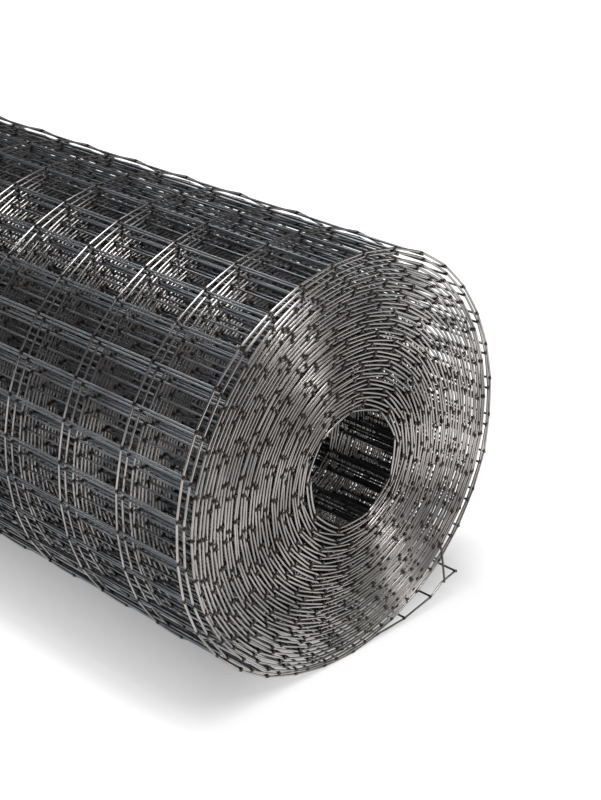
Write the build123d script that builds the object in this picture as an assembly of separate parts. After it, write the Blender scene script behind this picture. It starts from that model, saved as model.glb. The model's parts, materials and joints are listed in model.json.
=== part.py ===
from build123d import *
import math
import os

# A roll of welded steel wire mesh lying on its side, in millimetres, +Z up.
# The roll's axis runs along Y, above the origin, and Z = 0 is the level that it rests on.
# The loose end of the sheet is at the right of the front end, which faces -Y.

# The mesh sheet
wire = 1.4             # diameter of the line wires and the cross wires
cell_along = 25.0      # from one cross wire to the next, along the sheet
cell_across = 50.0     # from one line wire to the next, across the sheet
cells_across = 20
stub = 1.6             # how far a cross wire's cut end passes the middle of the edge line wire
weld_bite = 0.3        # how far two wires sink into each other where they are welded

# The winding
outer_diameter = 260.0    # over the corners of the outermost turn
bore_diameter = 68.0      # clear inside the innermost turn
bore_right = 5.8          # the winding has slipped, so the bore is right of the roll's middle,
bore_below = 3.8          # and below it
turns = 39
end_wander = 1.5          # how far a turn may stand out of line with its neighbours, at each end

# The loose end of the sheet, beyond the point where it leaves the roll
loose_slopes = [1.4, 11.8, 21.3]   # degrees above level, one for each cell, from the roll outward
loose_start = 13.3                 # degrees round the roll from its lowest point, where the sheet leaves it
hook_along = 0.6                   # share of the last cell before the hooked wire
hook_length = 31.0
hook_lean = 100.0                  # degrees above level

# Worked out from the sizes above
outer_radius = outer_diameter / 2
bore_radius = bore_diameter / 2
sheet_width = cells_across * cell_across
roll_length = sheet_width + 2 * (stub + end_wander)
facets = round(math.pi * outer_diameter / cell_along)
facet_angle = 360 / facets
axis_height = outer_radius * math.cos(math.radians(facet_angle / 2))
turn_spacing = (outer_radius - bore_radius) / turns
groove_depth = wire


def at_angle(radius, degrees):
    """A point at a radius round the roll's axis. 0 degrees is straight down, and right is positive."""
    angle = math.radians(degrees)
    return (radius * math.sin(angle), axis_height - radius * math.cos(angle))


def turn_axis(turn):
    """The axis that a turn goes round, counted from the bore: it shifts evenly from the bore to the roll's."""
    shift = 1 - turn / turns
    return Axis((bore_right * shift, 0, axis_height - bore_below * shift), (0, 1, 0))


def make_groove(turn, end):
    """The V groove outside a turn, turned round that turn's axis. end is -1 at the front and 1 at the back."""
    axis = turn_axis(turn)
    radius = bore_radius + turn * turn_spacing
    half_gap = (turn_spacing - wire) / 2
    past = 1.2
    y_crest = end * roll_length / 2
    y_groove = y_crest - end * groove_depth
    y_past = y_groove + end * groove_depth * past
    x, z = axis.position.X + radius, axis.position.Z
    corners = [(x - half_gap * past, y_past, z), (x, y_groove, z), (x + half_gap * past, y_past, z)]
    return revolve(make_face(Polyline(*corners, close=True)), axis, 360)


def make_bore():
    """The open bore, from end to end."""
    axis = turn_axis(0)
    bottom = Plane((axis.position.X, -roll_length / 2 - 1, axis.position.Z), z_dir=(0, 1, 0))
    return extrude(bottom * Circle(bore_radius), roll_length + 2)


def make_outer_turn_shape():
    """The prism that the outermost turn has in fact: a straight facet from each cross wire to the next."""
    corners = [at_angle(outer_radius, (k + 0.5) * facet_angle) for k in range(facets)]
    section = Plane.XZ * make_face(Polyline(*corners, close=True))
    return extrude(section, roll_length / 2, both=True)


def loose_path():
    """The middle of a line wire of the loose end: where it leaves the roll, then each cross wire."""
    points = [at_angle(outer_radius - wire / 2, loose_start)]
    for slope in loose_slopes:
        x, z = points[-1]
        angle = math.radians(slope)
        points.append((x + cell_along * math.cos(angle), z + cell_along * math.sin(angle)))
    return points


def bar(start, end, side):
    """A square bar as thick as the wire between two points, with two of its faces square to side."""
    start, end = Vector(*start), Vector(*end)
    plane = Plane(start, x_dir=side, z_dir=end - start)
    return extrude(plane * Rectangle(wire, wire), (end - start).length)


def make_line_wire(y, path):
    """One line wire of the loose end, at y: one straight piece from each cross wire to the next."""
    pieces = []
    for (xa, za), (xb, zb) in zip(path, path[1:]):
        overrun = wire / 2 / cell_along
        x_end = xb + (xb - xa) * overrun
        z_end = zb + (zb - za) * overrun
        x_start = xa - (xb - xa) * overrun
        z_start = za - (zb - za) * overrun
        pieces.append(bar((x_start, y, z_start), (x_end, y, z_end), side=(0, 1, 0)))
    return pieces


def make_cross_wire(x, z, slope):
    """One cross wire of the loose end, on the roll's side of the line wires, with both cut ends."""
    angle = math.radians(slope)
    inward = wire - weld_bite
    x -= inward * math.sin(angle)
    z += inward * math.cos(angle)
    half = sheet_width / 2 + stub
    return bar((x, -half, z), (x, half, z), side=(math.cos(angle), 0, math.sin(angle)))


def make_hook(path):
    """The bent end of a wire at the front edge of the loose end, hooked over the roll's outer turns."""
    (xa, za), (xb, zb) = path[-2:]
    x = xa + (xb - xa) * hook_along
    z = za + (zb - za) * hook_along
    y_low = -sheet_width / 2
    y_high = -(roll_length - wire) / 2
    lean = math.radians(hook_lean)
    top = (x + hook_length * math.cos(lean), y_high, z + hook_length * math.sin(lean))
    return bar((x, y_low, z), top, side=(0, 1, 0))


def make_loose_end():
    """The pieces of the strip of open mesh that stands away from the roll."""
    path = loose_path()
    strip = [make_hook(path)]
    for (x, z), slope in zip(path[1:], loose_slopes):
        strip.append(make_cross_wire(x, z, slope))
    for k in range(cells_across + 1):
        strip += make_line_wire(-sheet_width / 2 + k * cell_across, path)
    return strip


def make_mesh_roll():
    """The whole sheet, wound up, as one piece. The turns are ridges on both ends."""
    grooves = [make_groove(turn, end) for turn in range(1, turns) for end in (-1, 1)]
    wound = make_outer_turn_shape().cut(make_bore(), *grooves)
    return wound.fuse(*make_loose_end())


os.makedirs("parts", exist_ok=True)
mesh_roll = make_mesh_roll()
export_step(mesh_roll, "parts/mesh_roll.step")

box = mesh_roll.bounding_box()
print("mesh_roll: %d solids, %.0f x %.0f x %.0f mm, %d facets, turns %.2f mm apart"
      % (len(mesh_roll.solids()), box.size.X, box.size.Y, box.size.Z, facets, turn_spacing))
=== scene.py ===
# %% [markdown]
# # A roll of welded wire mesh, made wire by wire
#
# The real object is one flat sheet of steel wires, welded wherever two of them cross, and wound up like a
# carpet. Nothing else is in it: no core, no strap and no wrapping. So the whole look comes from more than
# a kilometre of thin wire, the gaps between the wires and the light that gets through.
#
# It could be faked with a picture on a cylinder, or with bump. Both fail at the ends and at the outline,
# where the wires stand free. Here every wire of the sheet is real geometry: one spiral is worked out as
# arrays of points, and all wires are swept along it.
#
# Lengths are in metres, as everywhere in Blender, and `mm` turns a size in millimetres into metres.

import json

import bpy
import numpy as np
from mathutils import Matrix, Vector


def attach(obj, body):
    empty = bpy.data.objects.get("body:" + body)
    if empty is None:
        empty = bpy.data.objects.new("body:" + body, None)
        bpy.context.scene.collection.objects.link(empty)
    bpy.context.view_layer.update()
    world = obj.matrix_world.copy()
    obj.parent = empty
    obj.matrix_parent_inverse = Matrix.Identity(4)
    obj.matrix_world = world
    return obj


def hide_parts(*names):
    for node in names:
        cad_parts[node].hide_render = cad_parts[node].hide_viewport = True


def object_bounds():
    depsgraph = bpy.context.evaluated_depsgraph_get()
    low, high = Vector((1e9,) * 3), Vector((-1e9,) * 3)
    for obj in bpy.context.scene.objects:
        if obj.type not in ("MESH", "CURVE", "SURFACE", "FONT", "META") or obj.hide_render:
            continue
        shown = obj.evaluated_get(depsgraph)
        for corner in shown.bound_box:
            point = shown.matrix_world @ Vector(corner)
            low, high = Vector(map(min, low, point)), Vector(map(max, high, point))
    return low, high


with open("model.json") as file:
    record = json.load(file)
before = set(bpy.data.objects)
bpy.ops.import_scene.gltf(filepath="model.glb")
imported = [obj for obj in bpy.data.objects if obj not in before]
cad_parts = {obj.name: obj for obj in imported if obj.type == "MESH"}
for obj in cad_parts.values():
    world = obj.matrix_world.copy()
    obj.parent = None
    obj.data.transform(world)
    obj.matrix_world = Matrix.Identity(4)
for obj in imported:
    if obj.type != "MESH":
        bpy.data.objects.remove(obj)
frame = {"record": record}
cad_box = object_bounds()
mm = 0.001
print("the solid roll measures", [round(side / mm, 1) for side in cad_box[1] - cad_box[0]], "mm")

# %% [markdown]
# ## The sheet
#
# Line wires run along the sheet, so they go round and round the roll. Cross wires run across it, so they
# lie along the roll's axis. A cross wire is laid over all the line wires and welded in one stroke, and a
# little of each wire sinks into the other. Its two ends are cut a little past the edge wires.

# %% Sizes of the sheet
wire = 1.4 * mm
cell_along = 25 * mm
cell_across = 50 * mm
cells_across = 20
sheet_cells = 800
loose_cells = 3
stub = 1.6 * mm
weld_bite = 0.3 * mm
cross_inset = wire - weld_bite
half_width = cells_across * cell_across / 2
line_wire_y = np.linspace(-half_width, half_width, cells_across + 1)
print(len(line_wire_y), "line wires and", sheet_cells + 1, "cross wires")

# %% [markdown]
# ## Directions round the roll
#
# The front end is looked at from -Y, so that x is to the right and z is up. A direction is an angle in that
# view: 0 is right and a quarter turn is up. From its loose edge the sheet goes round clockwise and inwards,
# so each turn in takes the direction back by a whole circle.
#
# The real roll isn't a neat cylinder. Its outermost turn is out of round by a few millimetres. The turn
# under it lies against it at the right and hangs free at the left, and so does the next. Only from the
# fourth turn on are they packed. The first four are therefore given by their distance from the axis in 24
# directions. The bore is a circle, and its middle is off the roll's axis.

# %% Outer turns and bore
mounts = {mount["name"]: mount for mount in frame["record"]["mounts"]}
axis_height = mounts["front_end"]["pos_m"][2]
bore_x = mounts["bore"]["pos_m"][0]
bore_z = mounts["bore"]["pos_m"][2] - axis_height
bore_turn = mounts["bore"]["dims"]["r_mm"] * mm + cross_inset + 0.4 * mm
leaves_at = np.radians(-75.2)

outer_turns = mm * np.array([
    [130.0, 128.6, 128.1, 129.9, 130.4, 131.1, 130.2, 128.9, 129.0, 128.9, 128.5, 127.2,
     126.8, 127.2, 128.7, 130.3, 130.5, 129.8, 129.6, 129.6, 130.5, 129.4, 129.2, 128.1],
    [127.6, 127.3, 126.8, 128.0, 128.7, 126.9, 125.6, 124.6, 122.9, 121.7, 122.5, 122.3,
     122.8, 124.6, 126.2, 127.1, 127.7, 127.8, 127.7, 127.6, 128.6, 127.5, 127.2, 126.2],
    [125.1, 124.5, 125.4, 125.4, 123.9, 122.4, 120.7, 118.8, 117.0, 115.4, 115.5, 117.2,
     119.2, 121.1, 122.6, 123.6, 123.6, 123.8, 124.0, 124.4, 124.9, 124.5, 123.7, 123.7],
    [123.2, 123.0, 123.8, 123.0, 121.9, 120.7, 118.9, 115.7, 113.6, 112.3, 112.7, 114.1,
     116.4, 118.0, 119.9, 121.2, 122.0, 122.1, 122.3, 122.4, 122.8, 122.1, 121.2, 121.1],
])


def bore_turn_radius(way):
    """Distance from the roll's axis to the innermost turn, a circle whose middle is off that axis."""
    towards = bore_x * np.cos(way) + bore_z * np.sin(way)
    aside = bore_x * np.sin(way) - bore_z * np.cos(way)
    return towards + np.sqrt(bore_turn ** 2 - aside ** 2)


# %% [markdown]
# ## The winding
#
# From the fourth turn on, each turn lies on the one inside it, so the radius falls by a steady step to the
# bore. The fourth turn's radii were measured along a spiral, so its own fall is taken out of them first. At
# the left the first packed turns are still a little loose. Round the small bore the sheet can't bend enough
# to nest closely, so the last turns open up again, most at the lower right.
#
# The steps are a little less than the sheet's thickness, because a corner of one turn mostly lies over a
# straight piece of the next. Contact isn't worked out wire by wire, so where two corners do meet, a few of
# every hundred cross wires sink some tenths of a millimetre into the next turn, and up to a whole one in
# the outermost turns.
#
# The length of the path then says where each cross wire comes. The straight chord between two cross wires
# is one cell long, so the arc over it is a little longer, by the cell squared over 24 radii squared. The
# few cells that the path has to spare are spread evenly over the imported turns.

# %% Radius of every turn
turn_count = 39.31
packed_from = 3
loose_at_left = 2.5 * mm
loose_over = 5.0
opening_mean = 0.9 * mm
opening_side = np.radians(-35)
opens_over = 1.8
fourth_step = 2.8 * mm


def packed_radius(turns_in, way):
    """Steady steps from the fourth turn to the bore, less the looseness at the left, plus the opening."""
    packed_turns = turn_count - packed_from
    fourth_turn = outer_turns[packed_from]
    part_of_turn = np.arange(len(fourth_turn)) / len(fourth_turn)
    fall = (fourth_turn - bore_turn_radius(leaves_at - 2 * np.pi * part_of_turn)) / packed_turns
    level = fourth_turn + fall * part_of_turn
    outer = np.interp((leaves_at - way) / (2 * np.pi) % 1,
                      np.append(part_of_turn, 1), np.append(level, level[0]))
    loose = loose_at_left * (0.5 - 0.5 * np.cos(way))
    opening = opening_mean * (1 + np.cos(way - opening_side))
    past = np.maximum(turns_in - packed_from, 0)
    share = past / packed_turns
    radius = outer + (bore_turn_radius(way) + opening - outer) * share
    radius -= loose * (1 - share - np.exp(-past / loose_over))
    return radius - opening * np.exp((turns_in - turn_count) / opens_over)


def winding_radius(turns_in, way):
    """Radius of the line wire: the measured outer turns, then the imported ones."""
    measured = np.append(outer_turns, outer_turns[-1, 0] - fourth_step)
    outer = np.interp(turns_in, np.linspace(0, len(outer_turns), len(measured)), measured)
    return np.where(turns_in < packed_from, outer, packed_radius(turns_in, way))


turns_fine = np.linspace(0, turn_count, 60001)
way_fine = leaves_at - 2 * np.pi * turns_fine
radius_fine = winding_radius(turns_fine, way_fine)
step_fine = np.hypot(np.diff(radius_fine), radius_fine[1:] * np.diff(way_fine))
cell_arc = cell_along * (1 + cell_along ** 2 / 24 / radius_fine[1:] ** 2)
cells_fine = np.concatenate([[0], np.cumsum(step_fine / cell_arc)])
wound_cells = sheet_cells - loose_cells
print("%.2f cells fit on %.2f turns, and %d are laid on them" % (cells_fine[-1], turn_count, wound_cells))
packed_share = np.maximum(turns_fine - packed_from, 0) / (turn_count - packed_from)
cells_fine -= (cells_fine[-1] - wound_cells) * packed_share
turns_in = np.interp(np.arange(wound_cells + 1), cells_fine, turns_fine)
way = leaves_at - 2 * np.pi * turns_in
has_next = turns_fine < turn_count - 2.6
steps_in = radius_fine[has_next] - winding_radius(turns_fine[has_next] + 1, way_fine[has_next])
print("a turn lies %.2f to %.2f mm inside the last; the sheet is %.2f mm thick"
      % (*np.percentile(steps_in, [2, 98]) / mm, (wire + cross_inset) / mm))

# %% [markdown]
# ## The path of the sheet
#
# Every turn also wanders a fraction of a millimetre in and out, and slides along the axis. These are sums
# of a few sine waves with fixed random phases, so that every run gives the same roll. The first corners
# don't wander in and out, so that the place where the loose end leaves the roll stays as measured.
#
# Seen from the front the whole sheet is one line. The three loose cells are laid out from where the sheet
# leaves the roll, by the slope of each cell, and come first, so that the count starts at the free edge. The
# outward direction at a corner is square to the line joining its two neighbours.

# %% Corners of the sheet, seen from the front
dice = np.random.default_rng(12)


def waves(position, wavelengths, height):
    """Sine waves of the given lengths added up, each with its own random phase and an equal share."""
    phases = dice.uniform(0, 2 * np.pi, len(wavelengths))
    total = sum(np.sin(2 * np.pi * position / length + phase) for length, phase in zip(wavelengths, phases))
    return height * total / np.sqrt(len(wavelengths))


steady_corners = 12
leaves_x, leaves_z = 29.8 * mm, 3.5 * mm
loose_slopes = np.radians([1.4, 11.8, 21.3])

wander = waves(turns_in, [0.31, 0.47, 0.73, 1.9], 0.12 * mm)
wander[:steady_corners] = 0
slide = waves(turns_in, [1.7, 3.1, 6.7, 17], 0.45 * mm)
wound_radius = winding_radius(turns_in, way) + wander
wound_x = wound_radius * np.cos(way)
wound_z = axis_height + wound_radius * np.sin(way)
wound_x[0], wound_z[0] = leaves_x, leaves_z
loose_x = leaves_x + cell_along * np.cumsum(np.cos(loose_slopes))
loose_z = leaves_z + cell_along * np.cumsum(np.sin(loose_slopes))
sheet_x = np.concatenate([loose_x[::-1], wound_x])
sheet_z = np.concatenate([loose_z[::-1], wound_z])
sheet_slide = np.concatenate([np.full(loose_cells, slide[0]), slide])
sheet_turn = np.concatenate([np.zeros(loose_cells), turns_in])
ahead_x, ahead_z = np.gradient(sheet_x), np.gradient(sheet_z)
outward = np.stack([-ahead_z, np.zeros_like(ahead_x), ahead_x], -1)
outward /= np.linalg.norm(outward, axis=1, keepdims=True)
print("the sheet is %.2f m long and slides by up to %.2f mm"
      % (sheet_cells * cell_along, np.abs(slide).max() / mm))

# %% [markdown]
# ## Corners of every line wire
#
# The sheet is springy across its width too, so a turn that touches its neighbour in one place stands off a
# little in the next. A gentle ripple along the axis, larger on the loose outer turns, moves line wires and
# cross wires together, so that the welds stay whole. At the upper right the gap under the second turn
# opens only near the two ends, and further in the next turns spring outwards and close it. Nothing goes
# through the floor or past the solid roll. The result is an array of line wires x corners x 3.

# %% Ripple across the width, and the corners
ripple_size = (0.15 + 0.55 * np.exp(-sheet_turn / 1.5)) * mm
ripple_size[:loose_cells + 2] = 0.3 * mm
ripple_waves = [(0.9, 0.37, 0.4), (0.43, 0.83, 2.1), (0.27, 1.71, 4.0), (0.13, 3.3, 1.3)]
ripple = ripple_size * sum(
    np.sin(2 * np.pi * (line_wire_y[:, None] / length + sheet_turn * pace) + phase)
    for length, pace, phase in ripple_waves
) / len(ripple_waves)

closed_by = 1.3 * mm
open_near_end = 80 * mm
closed_way, closed_spread = np.radians([60, 38])
from_end = half_width - np.abs(line_wire_y[:, None])
sheet_way = np.arctan2(sheet_z - axis_height, sheet_x)
upper_right = np.exp(-((sheet_way - closed_way) / closed_spread) ** 2)
closing = upper_right * np.interp(sheet_turn, [1.9, 2.3, 9], [0, 1, 0])
ripple += closed_by * closing * (1 - np.exp(-from_end / open_near_end))

corners = np.empty((len(line_wire_y), sheet_cells + 1, 3))
corners[..., 0] = sheet_x + outward[:, 0] * ripple
corners[..., 1] = line_wire_y[:, None] + sheet_slide
corners[..., 2] = sheet_z + outward[:, 2] * ripple
bow_room = 0.25 * mm
clear = wire / 2 + bow_room
clear_of_floor = wire / 2 + 0.02 * mm
corners[..., 0] = np.clip(corners[..., 0], cad_box[0].x + clear, cad_box[1].x - clear)
corners[..., 2] = np.clip(corners[..., 2], cad_box[0].z + clear_of_floor, cad_box[1].z - clear)
from_axis = np.hypot(corners[0, :, 0], corners[0, :, 2] - axis_height)
print("corners lie %.1f to %.1f mm from the axis" % (from_axis.min() / mm, from_axis.max() / mm))

# %% [markdown]
# ## Sweeping round bars along many paths at once
#
# A wire is a circle carried along a path. All wires of a kind are made in one go: the paths are an array
# of wires x points x 3, and each point gets a ring of vertices. Faces join ring to ring, and a flat cap
# closes each end, so that every wire is a closed solid. The UV map holds how many cells the point is along
# its wire, and how far round it. A material can then tell where the welds are, because they come at whole
# numbers of cells.

# %% Meshes and swept wires
def unit(vectors):
    """Vectors scaled to length one, along their last axis."""
    return vectors / np.linalg.norm(vectors, axis=-1, keepdims=True)


def add_piece(name, vertices, faces, smooth_count, uv, materials):
    """A piece from its vertices and faces. Faces after smooth_count are flat and take the second material."""
    mesh = bpy.data.meshes.new(name)
    mesh.from_pydata(vertices.tolist(), [], faces)
    flat = np.arange(len(mesh.polygons)) >= smooth_count
    mesh.polygons.foreach_set("use_smooth", ~flat)
    mesh.polygons.foreach_set("material_index", flat.astype(int))
    mesh.uv_layers.new(name="along wire").uv.foreach_set("vector", uv)
    for material in materials:
        mesh.materials.append(material)
    piece = bpy.data.objects.new(name, mesh)
    bpy.context.collection.objects.link(piece)
    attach(piece, "root")
    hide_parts("mesh_roll")
    mesh.calc_loop_triangles()
    print(name, len(mesh.loop_triangles), "triangles")
    return piece


def sweep_wires(name, paths, out, cells, sides, materials):
    """Round bars along paths: at angle a round the path, path + radius x (out cos a + sideways sin a).

    Sideways is square to both the path and out. cells says how many cells each point is along its wire.
    """
    wires, points = paths.shape[:2]
    ahead = unit(np.gradient(paths, axis=1))
    out = unit(out - ahead * np.sum(out * ahead, -1, keepdims=True))
    sideways = np.cross(ahead, out)
    around = np.arange(sides) / sides
    turn = 2 * np.pi * around[:, None]
    rings = np.cos(turn) * out[:, :, None] + np.sin(turn) * sideways[:, :, None]
    vertices = (paths[:, :, None] + wire / 2 * rings).reshape(-1, 3)

    number = np.arange(wires * points * sides).reshape(wires, points, sides)
    here, there = number[:, :-1], number[:, 1:]
    quads = np.stack([here, np.roll(here, -1, 2), np.roll(there, -1, 2), there], -1).reshape(-1, 4)
    caps = np.concatenate([number[:, 0, ::-1], number[:, -1]])

    along = np.broadcast_to(cells, (wires, points))[:, :, None]
    u_here = np.broadcast_to(along[:, :-1], here.shape)
    u_there = np.broadcast_to(along[:, 1:], here.shape)
    v_here = np.broadcast_to(around, here.shape)
    v_next = v_here + 1 / sides
    quad_uv = np.stack([u_here, v_here, u_here, v_next, u_there, v_next, u_there, v_here], -1)
    uv = np.concatenate([quad_uv.ravel(), np.zeros(caps.size * 2)])
    return add_piece(name, vertices, quads.tolist() + caps.tolist(), len(quads), uv, materials)


# %% [markdown]
# ## Small helpers for materials
#
# Colours are written as on a colour chart, in sRGB hex, and turned into the linear values that Blender
# works in. One function adds any node with its settings and links.

# %% Colours and nodes
def linear(code):
    """An sRGB colour written as six hex digits, as a linear colour: (s + 0.055) / 1.055 to the power 2.4."""
    srgb = np.array([int(code[i:i + 2], 16) for i in (0, 2, 4)]) / 255
    low, high = srgb / 12.92, ((srgb + 0.055) / 1.055) ** 2.4
    return (*np.where(srgb <= 0.04045, low, high).tolist(), 1.0)


def add_node(tree, kind, inputs=None, **settings):
    """Add one node. inputs holds a value or another node's output for each socket, by name or number."""
    made = tree.nodes.new(kind)
    for key, value in settings.items():
        setattr(made, key, value)
    for socket, value in (inputs or {}).items():
        if isinstance(value, bpy.types.NodeSocket):
            tree.links.new(value, made.inputs[socket])
        else:
            made.inputs[socket].default_value = value
    return made


def new_material(name):
    """An empty node material and its node tree."""
    material = bpy.data.materials.new(name)
    material.use_nodes = True
    material.node_tree.nodes.clear()
    return material, material.node_tree


# %% [markdown]
# ## Drawn steel wire
#
# Plain low-carbon steel, pulled cold through a die. It keeps a thin film of drawing soap, so it is a soft
# grey mirror rather than a polished one, with fine lines along it. It isn't galvanised: it dulls in patches
# as the film wears, and rust starts as small brown spots, first of all beside the welds. Each weld is
# burnt nearly black, with a brown edge where the steel was hot.
#
# The weld marks need the distance to the nearest weld. The UV map's u counts cells, so the distance is u
# bounced between 0 and one half of a cell, times the cell's length. Noise pushes the edge of the mark in
# and out. Steel's own colour is a mid grey of about half reflectance. The cross wires are painted a little
# darker and bluer: painted shade and a painted bluish reflection of the dim room that they face. The hooked
# wire is given the dullest and darkest steel of all.

# %% Drawn steel
def drawn_steel(name, bright, dull, cell_length, rough):
    """Steel wire with drawing lines, dull patches, burnt welds and rust spots, placed by the UV map."""
    material, tree = new_material(name)
    place = add_node(tree, "ShaderNodeTexCoord")
    along = add_node(tree, "ShaderNodeSeparateXYZ", {0: place.outputs["UV"]})
    to_weld = add_node(tree, "ShaderNodeMath", {0: along.outputs["X"], 1: 0.5}, operation="PINGPONG")
    distance = add_node(tree, "ShaderNodeMath", {0: to_weld.outputs[0], 1: cell_length / mm},
                        operation="MULTIPLY")

    patches = add_node(tree, "ShaderNodeTexNoise", {
        "Vector": place.outputs["Object"], "Scale": 1 / (45 * mm), "Detail": 3.0, "Roughness": 0.6})
    patch = add_node(tree, "ShaderNodeMapRange", {0: patches.outputs["Fac"], 1: 0.42, 2: 0.62})
    grains = add_node(tree, "ShaderNodeTexNoise", {
        "Vector": place.outputs["Object"], "Scale": 1 / (1.8 * mm), "Detail": 2.0})
    ragged = add_node(tree, "ShaderNodeMath", {0: grains.outputs["Fac"], 1: -1.6, 2: distance.outputs[0]},
                      operation="MULTIPLY_ADD")
    burnt = add_node(tree, "ShaderNodeMapRange", {0: ragged.outputs[0], 1: 0.15, 2: -0.4, 3: 0.0, 4: 1.0})
    browned = add_node(tree, "ShaderNodeMapRange", {0: ragged.outputs[0], 1: 1.1, 2: 0.0, 3: 0.0, 4: 1.0})

    spots = add_node(tree, "ShaderNodeTexNoise", {
        "Vector": place.outputs["Object"], "Scale": 1 / (7 * mm), "Detail": 4.0, "Roughness": 0.7})
    rust = add_node(tree, "ShaderNodeMapRange", {0: spots.outputs["Fac"], 1: 0.66, 2: 0.72})

    colour = add_node(tree, "ShaderNodeMix", {
        0: patch.outputs[0], 6: linear(bright), 7: linear(dull)}, data_type="RGBA")
    colour = add_node(tree, "ShaderNodeMix", {
        0: rust.outputs[0], 6: colour.outputs[2], 7: linear("6b4a35")}, data_type="RGBA")
    colour = add_node(tree, "ShaderNodeMix", {
        0: browned.outputs[0], 6: colour.outputs[2], 7: linear("4d4039")}, data_type="RGBA")
    colour = add_node(tree, "ShaderNodeMix", {
        0: burnt.outputs[0], 6: colour.outputs[2], 7: linear("231e1b")}, data_type="RGBA")

    lines_at = add_node(tree, "ShaderNodeMapping", {
        "Vector": place.outputs["UV"], "Scale": (cell_length / (30 * mm), 9, 1)})
    lines = add_node(tree, "ShaderNodeTexNoise", {"Vector": lines_at.outputs[0], "Scale": 1.0, "Detail": 3.0})
    dullness = add_node(tree, "ShaderNodeMath", {0: patch.outputs[0], 1: 0.10, 2: rough},
                        operation="MULTIPLY_ADD")
    dullness = add_node(tree, "ShaderNodeMath", {0: browned.outputs[0], 1: 0.25, 2: dullness.outputs[0]},
                        operation="MULTIPLY_ADD")
    relief = add_node(tree, "ShaderNodeBump", {
        "Height": lines.outputs["Fac"], "Strength": 0.06, "Distance": 0.05 * mm})
    metal = add_node(tree, "ShaderNodeMapRange", {0: burnt.outputs[0], 3: 1.0, 4: 0.4})
    steel = add_node(tree, "ShaderNodeBsdfPrincipled", {
        "Base Color": colour.outputs[2], "Metallic": metal.outputs[0],
        "Roughness": dullness.outputs[0], "Normal": relief.outputs[0]})
    add_node(tree, "ShaderNodeOutputMaterial", {"Surface": steel.outputs[0]})
    return material


line_steel = drawn_steel("bright drawn steel", "afaaa7", "8d8a88", cell_along, 0.25)
# The cross wires' darker, bluer colours are painted shade and a painted reflection of a dim bluish room.
cross_steel_painted_shade = drawn_steel("bluish drawn steel, painted shade", "7b7f83", "606468", cell_across, 0.30)
# The hooked wire gets the darkest and dullest colours.
hook_steel = drawn_steel("darkest drawn steel", "5d5b59", "454240", cell_along, 0.38)

# %% [markdown]
# ## Burnt steel
#
# The beads and the sheared ends of the wires have no bright film left. A bead is iron oxide over steel:
# nearly black, rough, with a little rust. A sheared end is dull, having no film, and is painted darker
# than the wire's side: that near black is painted shade, for the shade that the cut ends lie in.

# %% Burnt and sheared steel
def burnt_steel(name, dark, brown, rough, metallic):
    """Dark rough steel with brown in patches of about a millimetre."""
    material, tree = new_material(name)
    place = add_node(tree, "ShaderNodeTexCoord")
    grains = add_node(tree, "ShaderNodeTexNoise", {
        "Vector": place.outputs["Object"], "Scale": 1 / (1.3 * mm), "Detail": 3.0})
    share = add_node(tree, "ShaderNodeMapRange", {0: grains.outputs["Fac"], 1: 0.45, 2: 0.75})
    colour = add_node(tree, "ShaderNodeMix", {
        0: share.outputs[0], 6: linear(dark), 7: linear(brown)}, data_type="RGBA")
    relief = add_node(tree, "ShaderNodeBump", {
        "Height": grains.outputs["Fac"], "Strength": 0.5, "Distance": 0.1 * mm})
    steel = add_node(tree, "ShaderNodeBsdfPrincipled", {
        "Base Color": colour.outputs[2], "Metallic": metallic, "Roughness": rough,
        "Normal": relief.outputs[0]})
    add_node(tree, "ShaderNodeOutputMaterial", {"Surface": steel.outputs[0]})
    return material


weld_scale = burnt_steel("burnt weld scale", "120f0d", "3a2a20", 0.55, 0.4)
# Sheared ends: dull bare steel, painted nearly black, which is painted shade.
sheared_steel_painted_shade = burnt_steel("sheared steel", "2a2420", "4a382c", 0.5, 0.7)

# %% [markdown]
# ## Line wires
#
# Between two corners a wire follows the straight chord, with a small bow outwards that grows towards the
# bore, where the wire is bent hardest. The edge wires show end on at both ends of the roll, so they get
# more points than the inner ones. Each end is cut just past the last cross wire. The front edge wire has a
# kink in its last cell, where the hooked wire stands on it.

# %% Line wires
free_overrun = 0.06
hook_share = 0.48
kink_height = -2.2 * mm
front_edge, back_edge = 0, cells_across


def line_wires(name, wires, points_per_cell, sides):
    """Some line wires: the chord from corner to corner, plus bow x 4 s (1 - s) outwards at share s of it."""
    start, end = corners[wires, :-1], corners[wires, 1:]
    share = np.arange(points_per_cell) / points_per_cell
    radius = np.hypot(sheet_x[:-1], sheet_z[:-1] - axis_height)
    roundness = 0.35 + 0.1 * np.exp((bore_turn - radius) / (25 * mm))
    arc_height = cell_along ** 2 / 8 / radius
    bow = roundness * arc_height
    bow[:loose_cells] = 0
    chord_out = unit(np.cross(unit(end - start), [0, 1, 0]))
    rise = (bow[:, None] * 4 * share * (1 - share))[None, :, :, None]
    between = start[:, :, None] + (end - start)[:, :, None] * share[:, None] + chord_out[:, :, None] * rise
    if wires[0] == front_edge:
        kink = np.interp(share, [0, hook_share, 1], [0, kink_height, 0])
        between[0, 0] += kink[:, None] * chord_out[0, 0]
    paths = np.concatenate([between.reshape(len(start), -1, 3), end[:, -1:]], 1)
    paths[:, 0] += free_overrun * (start[:, 0] - end[:, 0])
    paths[:, -1] += free_overrun * (end[:, -1] - start[:, -1])
    out = np.repeat(chord_out, points_per_cell, 1)
    out = np.concatenate([out, chord_out[:, -1:]], 1)
    cells = np.arange(paths.shape[1]) / points_per_cell
    return sweep_wires(name, paths, out, cells, sides, [line_steel, sheared_steel_painted_shade])


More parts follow.
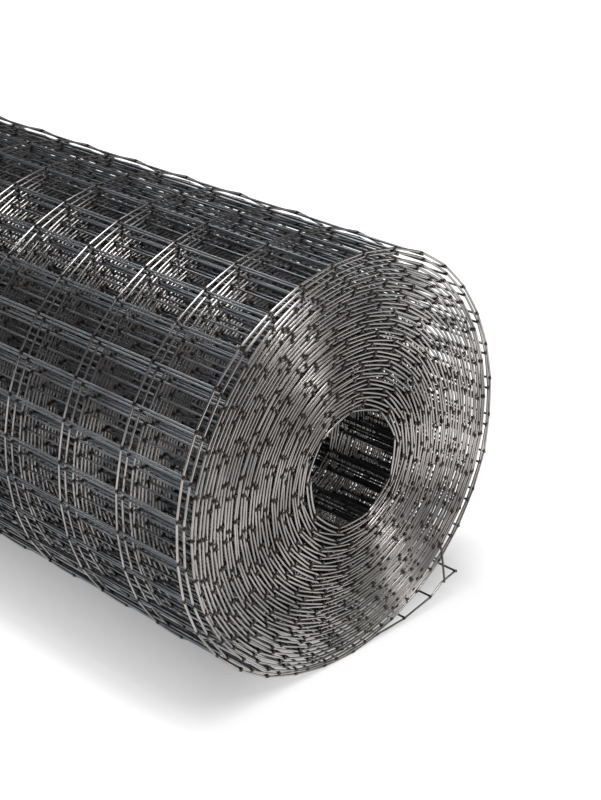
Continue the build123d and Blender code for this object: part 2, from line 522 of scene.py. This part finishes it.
line_wires("front_edge_wire", [front_edge], 4, 8)
line_wires("back_edge_wire", [back_edge], 4, 8)
line_wires("front_line_wires", np.arange(1, 7), 2, 8)
line_wires("middle_line_wires", np.arange(7, 14), 2, 6)
line_wires("back_line_wires", np.arange(14, back_edge), 2, 6)

# %% [markdown]
# ## Cross wires
#
# A cross wire lies on the inner side of the line wires and passes both edges by a short cut stub. The
# outer ones follow every line wire. Deep in the roll a few points are enough.

# %% Cross wires
stub_length = stub + dice.uniform(-0.4, 0.25, (sheet_cells + 1, 2)) * mm


def cross_wires(name, which, line_step, sides):
    """The cross wires numbered by which, straight from one line wire to the next, every line_step of them."""
    on_lines = corners[::line_step, which].transpose(1, 0, 2)
    inset = on_lines - cross_inset * outward[which][:, None]
    stubs = np.zeros((len(inset), 2, 3))
    stubs[..., 1] = stub_length[which] * [-1, 1]
    paths = np.concatenate([inset[:, :1] + stubs[:, :1], inset, inset[:, -1:] + stubs[:, 1:]], 1)
    out = np.broadcast_to(outward[which][:, None], paths.shape)
    cells = (paths[..., 1] + half_width - sheet_slide[which][:, None]) / cell_across
    return sweep_wires(name, paths, out, cells, sides, [cross_steel_painted_shade, sheared_steel_painted_shade])


outer_cross = 140
cross_wires("outer_cross_wires", np.arange(outer_cross), 1, 8)
cross_wires("inner_cross_wires", np.arange(outer_cross, sheet_cells + 1), 5, 6)

# %% [markdown]
# ## Weld beads
#
# At every crossing a little steel is squeezed out and burnt. On the ends of the roll each one is a dark
# dot that stops the eye, so they are real there, and on the outer turns of the body. A bead is a ball of
# twenty or eighty triangles, squashed a little differently each time. Its middle lies between the two
# wires. Its three sizes are half its length along the line wire, along the cross wire and outwards.

# %% Weld beads
def ball(rounds):
    """Points and triangles of a unit ball: twenty equal triangles, each cut in four once for each round."""
    golden = (1 + 5 ** 0.5) / 2
    first = [(-1, golden, 0), (1, golden, 0), (-1, -golden, 0), (1, -golden, 0)]
    second = [(c, a, b) for a, b, c in first]
    third = [(b, c, a) for a, b, c in first]
    points = unit(np.array(first + second + third, float))
    gaps = np.linalg.norm(points[:, None] - points[None], axis=-1)
    near = (gaps > 0.1) & (gaps < 1.1)
    triangles = np.array([(a, b, c) for a in range(12) for b in range(12) for c in range(12)
                          if a < b and a < c and b != c and near[a, b] and near[b, c] and near[a, c]
                          and np.dot(np.cross(points[a], points[b]), points[c]) > 0])
    for _ in range(rounds):
        sides = np.sort(triangles[:, [[0, 1], [1, 2], [2, 0]]].reshape(-1, 2), 1)
        unique, where = np.unique(sides, axis=0, return_inverse=True)
        middle = (len(points) + where).reshape(-1, 3)
        points = np.concatenate([points, unit(points[unique].sum(1))])
        a, b, c = triangles.T
        ab, bc, ca = middle.T
        triangles = np.concatenate([np.stack(t, 1) for t in
                                    [(a, ab, ca), (ab, b, bc), (ca, bc, c), (ab, bc, ca)]])
    return points, triangles


def weld_beads(name, lines, which, size, rounds):
    """A bead at each crossing of the line wires in lines and the cross wires in which."""
    points, triangles = ball(rounds)
    at = corners[lines][:, which] - bead_depth * outward[which]
    at = at.reshape(-1, 3)
    out = np.broadcast_to(outward[which], (len(lines), len(which), 3)).reshape(-1, 3)
    ahead = np.cross(out, [0, 1, 0])
    scale = np.array(size) * dice.uniform(0.8, 1.15, (len(at), 3))
    local = points * scale[:, None]
    placed = (at[:, None] + local[..., :1] * ahead[:, None] + local[..., 1:2] * np.array([0, 1, 0])
              + local[..., 2:] * out[:, None])
    faces = (triangles + np.arange(len(at))[:, None, None] * len(points)).reshape(-1, 3)
    uv = np.zeros(faces.size * 2)
    return add_piece(name, placed.reshape(-1, 3), faces.tolist(), len(faces), uv, [weld_scale])


bead_depth = 0.62 * cross_inset
end_bead = (0.55 * mm, 0.65 * mm, 0.7 * mm)
body_bead = (0.6 * mm, 0.65 * mm, 0.6 * mm)
every_cross = np.arange(sheet_cells + 1)
outer_beads = 105
weld_beads("front_weld_beads", [front_edge], every_cross, end_bead, 1)
weld_beads("back_weld_beads", [back_edge], every_cross, end_bead, 1)
weld_beads("body_weld_beads", np.arange(1, back_edge), np.arange(outer_beads), body_bead, 0)

# %% [markdown]
# ## The hooked wire
#
# At the front edge a bent wire end stands up from the loose end and hooks over the outer turns, which
# would keep the roll from springing open. It is swept like the other wires, through a few chosen places,
# given in millimetres from its foot on the kinked edge wire.

# %% Hooked wire
hook_foot = corners[0, 0] + hook_share * (corners[0, 1] - corners[0, 0]) + kink_height * outward[0]
hook_places = hook_foot + np.array([
    [0.9, -0.9, -0.4],
    [0.3, -1.3, 2.2],
    [-1.9, -1.5, 14.0],
    [-4.0, -1.7, 25.0],
    [-5.6, -1.5, 30.5],
    [-7.2, -0.2, 33.0],
]) * mm
hook_steps = np.linspace(0, len(hook_places) - 1, 31)
hook_path = np.stack([np.interp(hook_steps, range(len(hook_places)), side) for side in hook_places.T], -1)
hook_out = np.broadcast_to([1.0, 0.0, 0.0], (1, *hook_path.shape))
hook_cells = hook_steps / 5 + 0.2
sweep_wires("hooked_wire", hook_path[None], hook_out, hook_cells, 10, [hook_steel, sheared_steel_painted_shade])

# %% [markdown]
# ## Floor
#
# A sheet of pale paper that goes far past the view. To the camera, and in reflections, it also glows, as
# paper does under background lights of its own, which makes it white. The glow lights nothing else.
#
# Near the roll the paper glows less, which paints a shadow there on top of the lamp's real one. The
# distance is taken from a line beside the roll's axis, since the painted shadow reaches further to the
# right, or from the roll's ends where that is more. The glow rises in two steps: quickly beside the roll,
# where it paints the shadow, and then slowly as the lamp's light falls off.

# %% Floor
floor_half = 60.0
floor_mesh = bpy.data.meshes.new("floor")
floor_mesh.from_pydata([(-floor_half, -floor_half, 0), (floor_half, -floor_half, 0),
                        (floor_half, floor_half, 0), (-floor_half, floor_half, 0)], [], [(0, 1, 2, 3)])
floor = bpy.data.objects.new("floor", floor_mesh)
bpy.context.collection.objects.link(floor)
floor_material, tree = new_material("white paper with painted shadow")
# The dim strip beside the roll is a painted shadow: less glow there.
painted_shadow_middle = (0.055, 0, 0)
painted_shadow_edge = {1: 0.098, 2: 0.165, 3: 0.31, 4: 0.66}
lamp_falls_off = {1: 0.4, 2: 1.6, 3: 0.0, 4: 0.34}
paper = add_node(tree, "ShaderNodeBsdfDiffuse", {"Color": linear("c4c4c4")})
place = add_node(tree, "ShaderNodeTexCoord")
apart = add_node(tree, "ShaderNodeVectorMath", {0: place.outputs["Object"], 1: painted_shadow_middle},
                 operation="SUBTRACT")
apart = add_node(tree, "ShaderNodeVectorMath", {0: apart.outputs[0]}, operation="ABSOLUTE")
apart = add_node(tree, "ShaderNodeSeparateXYZ", {0: apart.outputs[0]})
past_end = add_node(tree, "ShaderNodeMath", {0: apart.outputs["Y"], 1: 1.3, 2: -0.49},
                    operation="MULTIPLY_ADD")
away = add_node(tree, "ShaderNodeMath", {0: apart.outputs["X"], 1: past_end.outputs[0], 2: 0.04},
                operation="SMOOTH_MAX")
# This first step paints the shadow beside the roll; the second makes up for the lamp's falloff.
near = add_node(tree, "ShaderNodeMapRange", {0: away.outputs[0], **painted_shadow_edge})
far = add_node(tree, "ShaderNodeMapRange", {0: away.outputs[0], **lamp_falls_off})
level = add_node(tree, "ShaderNodeMath", {0: near.outputs[0], 1: far.outputs[0]}, operation="ADD")
glow = add_node(tree, "ShaderNodeEmission", {"Color": (1, 1, 1, 1), "Strength": level.outputs[0]})
lit_and_glowing = add_node(tree, "ShaderNodeAddShader", {0: paper.outputs[0], 1: glow.outputs[0]})
rays = add_node(tree, "ShaderNodeLightPath")
seen = add_node(tree, "ShaderNodeMath", {
    0: rays.outputs["Is Camera Ray"], 1: rays.outputs["Is Glossy Ray"]}, operation="MAXIMUM")
seen = add_node(tree, "ShaderNodeMath", {
    0: seen.outputs[0], 1: rays.outputs["Is Transmission Ray"]}, operation="MAXIMUM")
shown = add_node(tree, "ShaderNodeMixShader", {
    0: seen.outputs[0], 1: paper.outputs[0], 2: lit_and_glowing.outputs[0]})
add_node(tree, "ShaderNodeOutputMaterial", {"Surface": shown.outputs[0]})
floor_mesh.materials.append(floor_material)

# %% [markdown]
# ## Light
#
# Bright wire is a mirror: what it shows is the room. In the photograph a narrow band crosses the front end
# from the top to the bottom, where the wires show a long softbox hung over the roll, and wide bands show
# the white floor. Between them the wires are dark, so the room above is dark. The world is therefore pale
# only low down, like walls beyond the paper, and dark overhead, and the light comes from the softbox.

# %% World and softboxes
world = bpy.data.worlds.new("studio")
world.use_nodes = True
tree = world.node_tree
tree.nodes.clear()
facing = add_node(tree, "ShaderNodeTexCoord")
height = add_node(tree, "ShaderNodeSeparateXYZ", {0: facing.outputs["Generated"]})
level = add_node(tree, "ShaderNodeMapRange", {0: height.outputs["Z"], 1: 0.03, 2: 0.25, 3: 0.55, 4: 0.075},
                 interpolation_type="SMOOTHSTEP")
room = add_node(tree, "ShaderNodeBackground", {"Color": (1, 1, 1, 1), "Strength": level.outputs[0]})
add_node(tree, "ShaderNodeOutputWorld", {"Surface": room.outputs[0]})
bpy.context.scene.world = world


def softbox(name, place, aim, width, length, power):
    """An oblong area lamp at a place, turned to face its aim, with its length nearest to the roll's axis."""
    lamp = bpy.data.lights.new(name, "AREA")
    lamp.shape = "RECTANGLE"
    lamp.size, lamp.size_y = width, length
    lamp.energy = power
    made = bpy.data.objects.new(name, lamp)
    bpy.context.collection.objects.link(made)
    back = unit(np.array(place, float) - np.array(aim, float))
    side = unit(np.cross([0, 1, 0], back))
    axes = np.stack([side, np.cross(back, side), back, place], 1)
    made.matrix_world = Matrix([*axes.tolist(), [0, 0, 0, 1]])
    return made


softbox("overhead softbox", (-0.1, -0.3, 1.75), (0, -0.3, 0.1), 0.6, 3.0, 47)

# %% [markdown]
# ## Camera
#
# The camera's place was worked out from the photograph: from the rings that the line wires draw round the
# roll and the outline of the front end, with the cells' known size as the ruler. It is counted from the
# middle of the front end, in units of the roll's radius.

# %% Camera
fitted_radius = 129.375 * mm
front_middle = np.array([0, -half_width, axis_height])
camera_place = front_middle + fitted_radius * np.array([-5.2082, -4.9054, 3.5871])
pitch, yaw = 24.519, -45.109
photo_height, focal_pixels = 800, 1803.9
lens = bpy.data.cameras.new("camera")
lens.sensor_width = 36
lens.lens = focal_pixels / photo_height * lens.sensor_width
camera = bpy.data.objects.new("camera", lens)
bpy.context.collection.objects.link(camera)
camera.location = camera_place
camera.rotation_euler = np.radians([90 - pitch, 0, yaw])
bpy.context.scene.camera = camera
bpy.context.scene.view_settings.view_transform = "Standard"
print("the camera is %.2f m from the front end, with a %.0f mm lens"
      % (np.linalg.norm(camera_place - front_middle), lens.lens))
